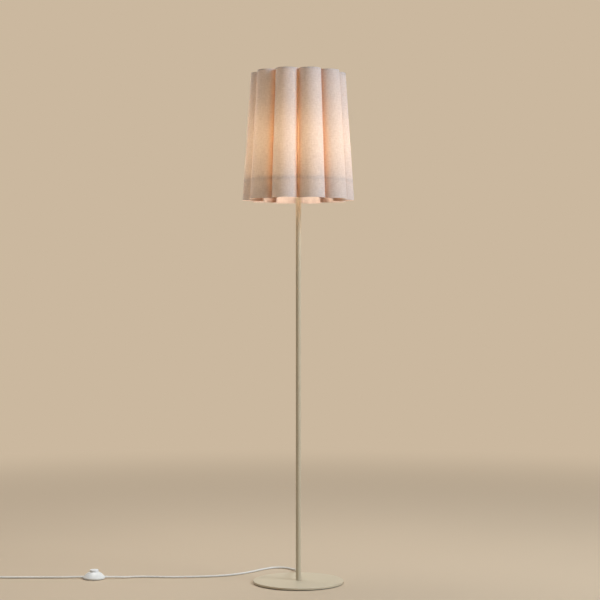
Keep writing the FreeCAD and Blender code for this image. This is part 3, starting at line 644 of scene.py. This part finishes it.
# A wave texture goes through 20 radians in each unit of length
wave_turn = 20
wave_scale = 2 * math.pi / (wave_turn * thread_pitch)
threads = []
for direction in ("X", "Y"):
    wave = add_node(cloth_tree, "ShaderNodeTexWave", {
        "Vector": weave_at, "Scale": wave_scale, "Distortion": 1.5, "Detail": 1.0, "Detail Scale": 0.4,
    }, wave_type="BANDS", bands_direction=direction)
    threads.append(wave.outputs["Fac"])
weave_height = cloth_sum("MAXIMUM", *threads)
lying_slubs = cloth_noise(along=60.0, up=420.0, detail=2.0)
upright_slubs = cloth_noise(along=300.0, up=60.0, detail=2.0)
slubs = cloth_sum("ADD", lying_slubs, upright_slubs)
mottle = cloth_noise(along=150.0, up=190.0, detail=4.0)
mixed = cloth_sum(
    "ADD", cloth_sum("MULTIPLY", slubs, slub_weight), cloth_sum("MULTIPLY", mottle, mottle_weight)
)
speckle = add_node(cloth_tree, "ShaderNodeMapRange", {
    "Value": mixed, "From Min": speckle_range[0], "From Max": speckle_range[1],
}).outputs[0]
face_tones = two_tone(cloth_tree, speckle, cloth_deep, cloth_pale)
lining_tones_painted_shade = two_tone(cloth_tree, speckle, lining_deep_painted_shade, lining_pale_painted_shade)
glow_tones = two_tone(cloth_tree, speckle, glow_deep, glow_pale)

# The turned-up hem and the seam's overlap are two layers of cloth, so they dim the glow
cloth_height = add_node(cloth_tree, "ShaderNodeSeparateXYZ", {
    "Vector": add_node(cloth_tree, "ShaderNodeTexCoord").outputs["Object"],
}).outputs["Z"]
strip_at = add_node(cloth_tree, "ShaderNodeSeparateXYZ", {"Vector": weave_at}).outputs["X"]
in_hem = add_node(cloth_tree, "ShaderNodeMapRange", {
    "Value": cloth_height, "From Min": hem_top + hem_blur, "From Max": hem_top - hem_blur,
}, interpolation_type="SMOOTHSTEP").outputs[0]
in_seam = cloth_sum("LESS_THAN", strip_at, seam_overlap)
doubled = cloth_sum("MAXIMUM", in_hem, in_seam)

# Painted shadow of the lower ring: a soft dark line in the glow that sinks a little at the
# middle of each lobe and wavers along the strip
steps_of_a_pitch = shade_sizes["Lobe Steps"] + shade_sizes["Fold Steps"]
lobe_middle_share = shade_sizes["Lobe Steps"] / 2 / steps_of_a_pitch
slow_noise = cloth_noise(along=18.0, up=1.0, detail=1.0)
painted_ring_shadow_wobble = cloth_sum("MULTIPLY_ADD", slow_noise, painted_ring_shadow_waver, -painted_ring_shadow_waver / 2)
lobe_phase = cloth_sum(
    "MULTIPLY_ADD", strip_at, 2 * math.pi * shade_sizes["Lobes"] / shade_sizes["Strip Length"],
    -2 * math.pi * lobe_middle_share,
)
painted_ring_shadow_sag = cloth_sum("MULTIPLY_ADD", cloth_sum("COSINE", lobe_phase), painted_ring_shadow_dip, painted_ring_shadow_wobble)
painted_ring_shadow_distance = cloth_sum("ABSOLUTE", cloth_sum("SUBTRACT", cloth_sum(
    "ADD", cloth_height, painted_ring_shadow_sag
), painted_ring_shadow_level))
painted_ring_shadow_mask = add_node(cloth_tree, "ShaderNodeMapRange", {
    "Value": painted_ring_shadow_distance, "From Min": painted_ring_shadow_width, "From Max": 0.0,
}, interpolation_type="SMOOTHSTEP").outputs[0]
# The glow is dimmed by the painted ring shadow, and by the doubled hem and seam
painted_ring_shadow_factor = cloth_sum("MULTIPLY_ADD", painted_ring_shadow_mask, painted_ring_shadow_dimming - 1, 1.0)
hem_and_painted_shadow_share = cloth_sum("MULTIPLY", painted_ring_shadow_factor, cloth_sum("MULTIPLY_ADD", doubled, hem_dimming - 1, 1.0))

# Painted light: a flank lets more light through and glows warmer, standing in for light that has
# gone from wall to wall in the fold. A mix node's vectors are its inputs 4 and 5 and its output 1, and its
# colours inputs 6 and 7 and output 2.
in_flank = add_node(cloth_tree, "ShaderNodeAttribute", attribute_name="flank").outputs["Fac"]
painted_flank_warming = add_node(cloth_tree, "ShaderNodeMix", {
    0: in_flank, 4: (1.0, 1.0, 1.0), 5: painted_flank_tint,
}, data_type="VECTOR")
painted_flank_glow = add_node(cloth_tree, "ShaderNodeVectorMath", {
    0: glow_tones, 1: painted_flank_warming.outputs[1],
}, operation="MULTIPLY")
glow_colour = add_node(cloth_tree, "ShaderNodeVectorMath", {
    0: painted_flank_glow.outputs[0], "Scale": hem_and_painted_shadow_share,
}, operation="SCALE")
glow_face = add_node(cloth_tree, "ShaderNodeBsdfTranslucent", {"Color": glow_colour.outputs[0]})
weave_relief = cloth_sum("MULTIPLY_ADD", mottle, mottle_relief, weave_height)
cloth_bump = add_node(cloth_tree, "ShaderNodeBump", {
    "Height": weave_relief, "Strength": weave_strength, "Distance": weave_depth,
})
# The flanks' higher translucence is painted light too
passing_share = cloth_sum(
    "MULTIPLY_ADD", in_flank, painted_flank_translucence - cloth_translucence, cloth_translucence
)
cloth_blend = add_node(cloth_tree, "ShaderNodeMixShader", {
    "Fac": passing_share, 1: cloth_face.outputs[0], 2: glow_face.outputs[0],
})
lining_share = add_node(cloth_tree, "ShaderNodeAttribute", attribute_name="lining").outputs["Fac"]
# The inner face takes the lining's darker tones of painted shade
face_colour = add_node(cloth_tree, "ShaderNodeMix", {
    0: lining_share, 6: face_tones, 7: lining_tones_painted_shade,
}, data_type="RGBA")
cloth_tree.links.new(face_colour.outputs[2], cloth_face.inputs["Base Color"])
cloth_tree.links.new(cloth_bump.outputs["Normal"], cloth_face.inputs["Normal"])
cloth_tree.links.new(cloth_blend.outputs[0], cloth_tree.nodes["Material Output"].inputs["Surface"])

close_tree(creased.outputs[0], shade_cloth)
shade_wall = as_piece(
    shade_tree, shade_sizes, "shade_wall", shade_cloth, "shade", "shade_cloth", "shade_fabric"
)

# Bulb
# A screw-cap lamp with a nickel-plated cap, a white heat-spreading housing and an opal globe
# over a board of light-emitting chips. It is switched on, as the photograph shows it.

bulb_light_power = 5.2
bulb_light_radius = 0.024
bulb_light_level = 1.349
lamp_white = (1.0, 0.96, 0.87)
globe_glow = 3.0

black_glass = grained_finish(
    "black_insulator", tint(30, 28, 30), tint(18, 17, 19),
    grain=600, roughness=(0.15, 0.3), relief=0.000008,
)
board_lacquer = grained_finish(
    "white_board_lacquer", tint(226, 230, 226), tint(205, 212, 206),
    grain=900, roughness=(0.3, 0.4), relief=0.00001,
)
opal = grained_finish(
    "opal_globe", tint(250, 246, 238), tint(244, 238, 228),
    grain=300, roughness=(0.35, 0.45), relief=0.00002,
)
opal_surface = opal.node_tree.nodes["Principled BSDF"]
opal_surface.inputs["Emission Color"].default_value = (*lamp_white, 1)
opal_surface.inputs["Emission Strength"].default_value = globe_glow
for node, finish in (
    ("bulb_tip", nickel),
    ("bulb_insulator", black_glass),
    ("bulb_cap", nickel),
    ("bulb_housing", moulded_white),
    ("bulb_led_board", board_lacquer),
    ("bulb_globe", opal),
):
    dress(node, finish)

# The light's ball stands low in the opal globe and reaches into these pieces, so they cast
# no shadow
for node in ("bulb_globe", "bulb_housing", "bulb_led_board"):
    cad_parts[node].visible_shadow = False

bulb_light = bpy.data.lights.new("bulb_light", "POINT")
bulb_light.energy = bulb_light_power
bulb_light.color = lamp_white
bulb_light.shadow_soft_size = bulb_light_radius
bulb_glow = bpy.data.objects.new("bulb_light", bulb_light)
bpy.context.scene.collection.objects.link(bulb_glow)
bulb_glow.location = (0.0, 0.0, bulb_light_level)
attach(bulb_glow, "bulb")

# Foot switch
# A white moulded dome on a flat base, held by three screws from below and standing on rubber
# pads. Its large button sinks against a spring, and a ribbed boot holds the cord at each side.

switch_x = -0.642
switch_y = 0.068
boot_level = 0.0055
boot_rib_count = 3
boot_rib_start = 0.0362
boot_rib_step = 0.0024
boot_rib_radius = 0.0005
boot_radius = 0.0034
boot_end = 0.043
spring_foot = 0.0123
spring_height = 0.0144
spring_radius = 0.00455
spring_turns = 5.0
wire_radius = 0.00045

pad_rubber = grained_finish(
    "pad_rubber", tint(92, 92, 94), tint(74, 74, 76),
    grain=1500, roughness=(0.7, 0.85), relief=0.00008,
)
button_white = grained_finish(
    "button_white", tint(242, 243, 243), tint(233, 234, 234),
    grain=700, roughness=(0.3, 0.4), relief=0.000005,
)
for node, finish in (
    ("switch_base", moulded_white),
    ("switch_cover", moulded_white),
    ("switch_button", button_white),
    ("switch_mechanism", board_lacquer),
    ("switch_screws", zinc_plate),
    ("switch_pads", pad_rubber),
    ("switch_boots", moulded_white),
    ("switch_leads", core_insulation),
):
    dress(node, finish)

boot_sizes = {
    "Ribs": boot_rib_count, "Start": boot_rib_start, "Step": boot_rib_step,
    "Boot Radius": boot_radius, "Rib Radius": boot_rib_radius,
    "Switch X": switch_x, "Switch Y": switch_y, "Level": boot_level,
}
boot_tree, size, close_tree = new_tree("boot_ribs", boot_sizes)
rib_section = add_node(boot_tree, "GeometryNodeCurvePrimitiveCircle", {
    "Resolution": 8, "Radius": size["Rib Radius"],
})
rib_line = add_node(boot_tree, "GeometryNodeCurvePrimitiveCircle", {
    "Resolution": 40, "Radius": size["Boot Radius"],
})
rib_hoop = add_node(boot_tree, "GeometryNodeCurveToMesh", {
    "Curve": rib_line.outputs["Curve"], "Profile Curve": rib_section.outputs["Curve"],
})
boot_sides = []
for side in (-1.0, 1.0):
    first = add_node(boot_tree, "ShaderNodeMath", {0: size["Start"], 1: side}, operation="MULTIPLY")
    apart = add_node(boot_tree, "ShaderNodeMath", {0: size["Step"], 1: side}, operation="MULTIPLY")
    first_x = add_node(boot_tree, "ShaderNodeMath", {0: first.outputs[0], 1: size["Switch X"]})
    start_place = add_node(boot_tree, "ShaderNodeCombineXYZ", {
        "X": first_x.outputs[0], "Y": size["Switch Y"], "Z": size["Level"],
    })
    along = add_node(boot_tree, "ShaderNodeCombineXYZ", {"X": apart.outputs[0]})
    row_of_points = add_node(boot_tree, "GeometryNodeMeshLine", {
        "Count": size["Ribs"], "Start Location": start_place.outputs[0], "Offset": along.outputs[0],
    })
    hoops = add_node(boot_tree, "GeometryNodeInstanceOnPoints", {
        "Points": row_of_points.outputs[0], "Instance": rib_hoop.outputs[0],
        "Rotation": (0.0, math.pi / 2, 0.0),
    })
    boot_sides.append(hoops.outputs[0])
both_boots = add_node(boot_tree, "GeometryNodeJoinGeometry")
for side_hoops in boot_sides:
    boot_tree.links.new(side_hoops, both_boots.inputs[0])
close_tree(both_boots.outputs[0], moulded_white)
boot_ribs = as_piece(boot_tree, boot_sizes, "boot_ribs", moulded_white, "lamp", "white_plastic")

# The spring stands on the contact block under the button
spring_sizes = {
    "Turns": spring_turns, "Radius": spring_radius, "Wire Radius": wire_radius,
    "Rise": spring_height - 2 * wire_radius, "Start": spring_foot + wire_radius,
    "Switch X": switch_x, "Switch Y": switch_y,
}
spring_tree, size, close_tree = new_tree("button_spring", spring_sizes)
spring_line = add_node(spring_tree, "GeometryNodeCurveSpiral", {
    "Resolution": 32, "Rotations": size["Turns"], "Start Radius": size["Radius"],
    "End Radius": size["Radius"], "Height": size["Rise"], "Reverse": True,
})
spring_section = add_node(spring_tree, "GeometryNodeCurvePrimitiveCircle", {
    "Resolution": 12, "Radius": size["Wire Radius"],
})
spring_wire = add_node(spring_tree, "GeometryNodeCurveToMesh", {
    "Curve": spring_line.outputs[0], "Profile Curve": spring_section.outputs["Curve"], "Fill Caps": True,
})
spring_place = add_node(spring_tree, "ShaderNodeCombineXYZ", {
    "X": size["Switch X"], "Y": size["Switch Y"], "Z": size["Start"],
})
spring_stood = add_node(spring_tree, "GeometryNodeTransform", {
    "Geometry": spring_wire.outputs[0], "Translation": spring_place.outputs[0],
})
close_tree(spring_stood.outputs[0], zinc_plate)
button_spring = as_piece(
    spring_tree, spring_sizes, "button_spring", zinc_plate, "lamp", "zinc_steel", "switch_spring"
)
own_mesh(button_spring)

# Cord
# White round flex in two lengths: from the pole to the foot switch, and from the switch to the
# plug. It slopes from its bush to the floor and lies in loose bends. The part that the
# photograph doesn't show is wound in a flat two-layer coil, and a strap holds the turns.

floor_level = cord_diameter / 2
straight_run = 0.024
coil_x = -1.000
coil_y = 0.116
coil_radius = 0.043
coil_pitch = 0.0066
coil_turns = 6.25
climb_turns = 0.5
coil_level = 0.0043
points_per_turn = 16
tail_length = 0.066
tail_straight_share = 0.3
plug_level = 0.0065

cord_to_switch = lay_cord("cord_to_foot_switch", [
    (0.0, bush_reach, cord_exit_height),
    (0.0, 0.066, cord_exit_height),
    (-0.001, 0.104, 0.029),
    (-0.002, 0.146, 0.0185),
    (-0.006, 0.186, 0.008),
    (-0.017, 0.224, floor_level),
    (-0.042, 0.258, floor_level),
    (-0.084, 0.260, floor_level),
    (-0.122, 0.218, floor_level),
    (-0.160, 0.166, floor_level),
    (-0.208, 0.122, floor_level),
    (-0.266, 0.096, floor_level),
    (-0.332, 0.085, floor_level),
    (-0.398, 0.079, floor_level),
    (-0.458, 0.086, floor_level),
    (-0.512, 0.088, floor_level),
    (-0.548, 0.075, 0.0036),
    (switch_x + boot_end + straight_run, switch_y, boot_level),
    (switch_x + boot_end, switch_y, boot_level),
])
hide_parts("cord_to_switch")


def coil_point(turn):
    """Centre of the coiled cord: in on the lower layer, out on the upper one, clockwise."""
    inward = min(turn, coil_turns - turn)
    climb = min(max((turn - coil_turns / 2) / climb_turns + 0.5, 0), 1)
    eased = climb * climb * (3 - 2 * climb)
    angle = -math.pi / 2 - 2 * math.pi * turn
    radius = coil_radius - coil_pitch * inward
    return (
        coil_x + radius * math.cos(angle),
        coil_y + radius * math.sin(angle),
        coil_level + coil_pitch * eased,
    )


coil_points = [
    coil_point(index / points_per_turn) for index in range(round(coil_turns * points_per_turn) + 1)
]
upper_level = coil_level + coil_pitch
plug_cord_start = (switch_x - boot_end, switch_y, boot_level)
tail_x = coil_x - coil_radius
tail_start = coil_y + cord_diameter
tail_end = tail_start + tail_length
tail_straight = tail_length * tail_straight_share
cord_to_plug = lay_cord("cord_to_plug", [
    plug_cord_start,
    (switch_x - boot_end - straight_run, switch_y, boot_level),
    (-0.742, 0.070, 0.0038),
    (-0.790, 0.075, floor_level),
    (-0.852, 0.076, floor_level),
    (-0.914, 0.074, floor_level),
    (-0.964, coil_y - coil_radius, coil_level),
    *coil_points,
    (tail_x, tail_start, upper_level),
    (tail_x, tail_start + tail_straight, upper_level),
    (tail_x, tail_end - tail_straight, plug_level),
    (tail_x, tail_end, plug_level),
])
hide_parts("cord_to_coil", "cord_coil", "cord_tail")

# Coil strap
# A narrow strap of woven tape round all the turns on one side of the coil. Its end is pressed
# on itself, so that it can be opened again.

strap_low, strap_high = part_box("cord_tie")
strap_thickness = 0.001
strap_corner = 0.0016
strap_sizes = {
    "Length": strap_high.x - strap_low.x - strap_thickness,
    "Rise": strap_high.z - strap_low.z - strap_thickness,
    "Width": strap_high.y - strap_low.y, "Thickness": strap_thickness, "Corner": strap_corner,
    "Middle X": (strap_low.x + strap_high.x) / 2, "Middle Y": (strap_low.y + strap_high.y) / 2,
    "Middle Z": (strap_low.z + strap_high.z) / 2,
}
strap_weave = grained_finish(
    "woven_strap", tint(222, 220, 214), tint(196, 193, 186),
    grain=2400, roughness=(0.7, 0.85), relief=0.0002,
)
strap_tree, size, close_tree = new_tree("coil_strap", strap_sizes)
strap_loop = add_node(strap_tree, "GeometryNodeCurvePrimitiveQuadrilateral", {
    "Width": size["Length"], "Height": size["Rise"],
})
strap_round = add_node(strap_tree, "GeometryNodeFilletCurve", {
    "Curve": strap_loop.outputs[0], "Radius": size["Corner"], "Count": 5,
}, mode="POLY")
strap_section = add_node(strap_tree, "GeometryNodeCurvePrimitiveQuadrilateral", {
    "Width": size["Thickness"], "Height": size["Width"],
})
strap_band = add_node(strap_tree, "GeometryNodeCurveToMesh", {
    "Curve": strap_round.outputs[0], "Profile Curve": strap_section.outputs[0],
})
strap_middle = add_node(strap_tree, "ShaderNodeCombineXYZ", {
    "X": size["Middle X"], "Y": size["Middle Y"], "Z": size["Middle Z"],
})
strap_upright = add_node(strap_tree, "GeometryNodeTransform", {
    "Geometry": strap_band.outputs[0], "Translation": strap_middle.outputs[0],
    "Rotation": (math.pi / 2, 0.0, 0.0),
})
close_tree(strap_upright.outputs[0], strap_weave)
coil_strap = as_piece(
    strap_tree, strap_sizes, "coil_strap", strap_weave, "lamp", "white_plastic", "cord_tie"
)

# Plug
# A flat two-pin plug moulded on the cord, with a grooved boot. The pins are nickel-plated, with
# a white sleeve on the half next to the plug's face.

sleeve_end = 0.250
dress("plug_body", moulded_white)
pin_finish = grained_finish(
    "sleeved_pins", tint(205, 203, 197), tint(184, 182, 176),
    grain=900, roughness=(0.2, 0.34), relief=0.000008, metallic=1.0,
)
pin_tree = pin_finish.node_tree
pin_surface = pin_tree.nodes["Principled BSDF"]
pin_place = add_node(pin_tree, "ShaderNodeSeparateXYZ", {
    "Vector": add_node(pin_tree, "ShaderNodeTexCoord").outputs["Object"],
})
bare_metal = add_node(pin_tree, "ShaderNodeMath", {
    0: pin_place.outputs["Y"], 1: sleeve_end,
}, operation="GREATER_THAN")
pin_tree.links.new(bare_metal.outputs[0], pin_surface.inputs["Metallic"])
dress("plug_pins", pin_finish)

# Floor
# A plain pale floor that takes the lamp's shadow and fades into a backdrop of the same
# colour. It isn't part of the lamp.

floor_radius = 14.0
floor_drop = 0.0004
fade_start = 1.6
fade_end = 4.5
studio_colour = tint(203, 184, 159)

floor_mesh = bpy.data.meshes.new("floor")
floor_work = bmesh.new()
bmesh.ops.create_circle(floor_work, cap_ends=True, radius=floor_radius, segments=96)
bmesh.ops.translate(floor_work, verts=floor_work.verts, vec=(0, 0, -floor_drop))
floor_work.to_mesh(floor_mesh)
floor_work.free()
floor = bpy.data.objects.new("floor", floor_mesh)
bpy.context.scene.collection.objects.link(floor)
floor_finish = bpy.data.materials.new("studio_floor")
floor_finish.use_nodes = True
floor_tree = floor_finish.node_tree
floor_surface = floor_tree.nodes["Principled BSDF"]
floor_surface.inputs["Base Color"].default_value = studio_colour
floor_surface.inputs["Roughness"].default_value = 0.8
floor_surface.inputs["Specular IOR Level"].default_value = 0.2
floor_place = add_node(floor_tree, "ShaderNodeTexCoord").outputs["Object"]
floor_reach = add_node(floor_tree, "ShaderNodeVectorMath", {0: floor_place}, operation="LENGTH")
fade = add_node(floor_tree, "ShaderNodeMapRange", {
    "Value": floor_reach.outputs["Value"], "From Min": fade_start, "From Max": fade_end,
}, interpolation_type="SMOOTHSTEP")
backdrop = add_node(floor_tree, "ShaderNodeEmission", {"Color": studio_colour, "Strength": 1.0})
floor_blend = add_node(floor_tree, "ShaderNodeMixShader", {
    "Fac": fade.outputs[0], 1: floor_surface.outputs[0], 2: backdrop.outputs[0],
})
floor_tree.links.new(floor_blend.outputs[0], floor_tree.nodes["Material Output"].inputs["Surface"])
floor_mesh.materials.append(floor_finish)

# Studio light
# A large soft lamp from the right with slightly cool light, a second one overhead that lights
# the floor, and an even light from all round. The camera and clear reflections see the
# backdrop's colour.

ambient_level = 0.16
ambient_colour = (1.0, 0.99, 0.98, 1)

world = bpy.data.worlds.new("studio")
world.use_nodes = True
bpy.context.scene.world = world
sky = world.node_tree
ray_kind = add_node(sky, "ShaderNodeLightPath").outputs
clear_view = add_node(sky, "ShaderNodeMath", {
    0: ray_kind["Is Camera Ray"], 1: ray_kind["Is Glossy Ray"],
}, operation="MAXIMUM")
any_view = add_node(sky, "ShaderNodeMath", {
    0: clear_view.outputs[0], 1: ray_kind["Is Transmission Ray"],
}, operation="MAXIMUM")
sky_light = sky.nodes["Background"]
sky_light.inputs["Color"].default_value = ambient_colour
sky_light.inputs["Strength"].default_value = ambient_level
sky_view = add_node(sky, "ShaderNodeBackground", {"Color": studio_colour, "Strength": 1.0})
sky_blend = add_node(sky, "ShaderNodeMixShader", {
    "Fac": any_view.outputs[0], 1: sky_light.outputs[0], 2: sky_view.outputs[0],
})
sky.links.new(sky_blend.outputs[0], sky.nodes["World Output"].inputs["Surface"])


def soft_lamp(name, place, aim, size, power, colour):
    """Square area lamp at a place, turned towards a point."""
    lamp = bpy.data.lights.new(name, "AREA")
    lamp.size = size
    lamp.energy = power
    lamp.color = colour
    holder = bpy.data.objects.new(name, lamp)
    bpy.context.scene.collection.objects.link(holder)
    holder.location = place
    look = Vector(aim) - Vector(place)
    holder.rotation_euler = look.to_track_quat("-Z", "Y").to_euler()


lamp_aim = (0.0, 0.0, 0.9)
soft_lamp(
    "key_lamp", place=(3.8, -1.87, 3.2), aim=lamp_aim, size=1.8, power=162.0, colour=(0.9, 1.0, 1.1)
)
soft_lamp(
    "top_lamp", place=(-0.9, 1.2, 4.4), aim=lamp_aim, size=2.4, power=116.0, colour=(1.0, 0.99, 0.98)
)

# Camera
# Straight in front and level, a little above half the lamp's height, with a long lens, as
# the photograph was taken.

camera_place = (0.005, -4.898, 0.876)
camera_lens = 94.8
sensor_width = 36.0

camera = bpy.data.cameras.new("camera")
camera.lens = camera_lens
camera.sensor_width = sensor_width
viewer = bpy.data.objects.new("camera", camera)
bpy.context.scene.collection.objects.link(viewer)
viewer.location = camera_place
viewer.rotation_euler = (math.pi / 2, 0.0, 0.0)
bpy.context.scene.camera = viewer
bpy.context.scene.view_settings.view_transform = "Standard"
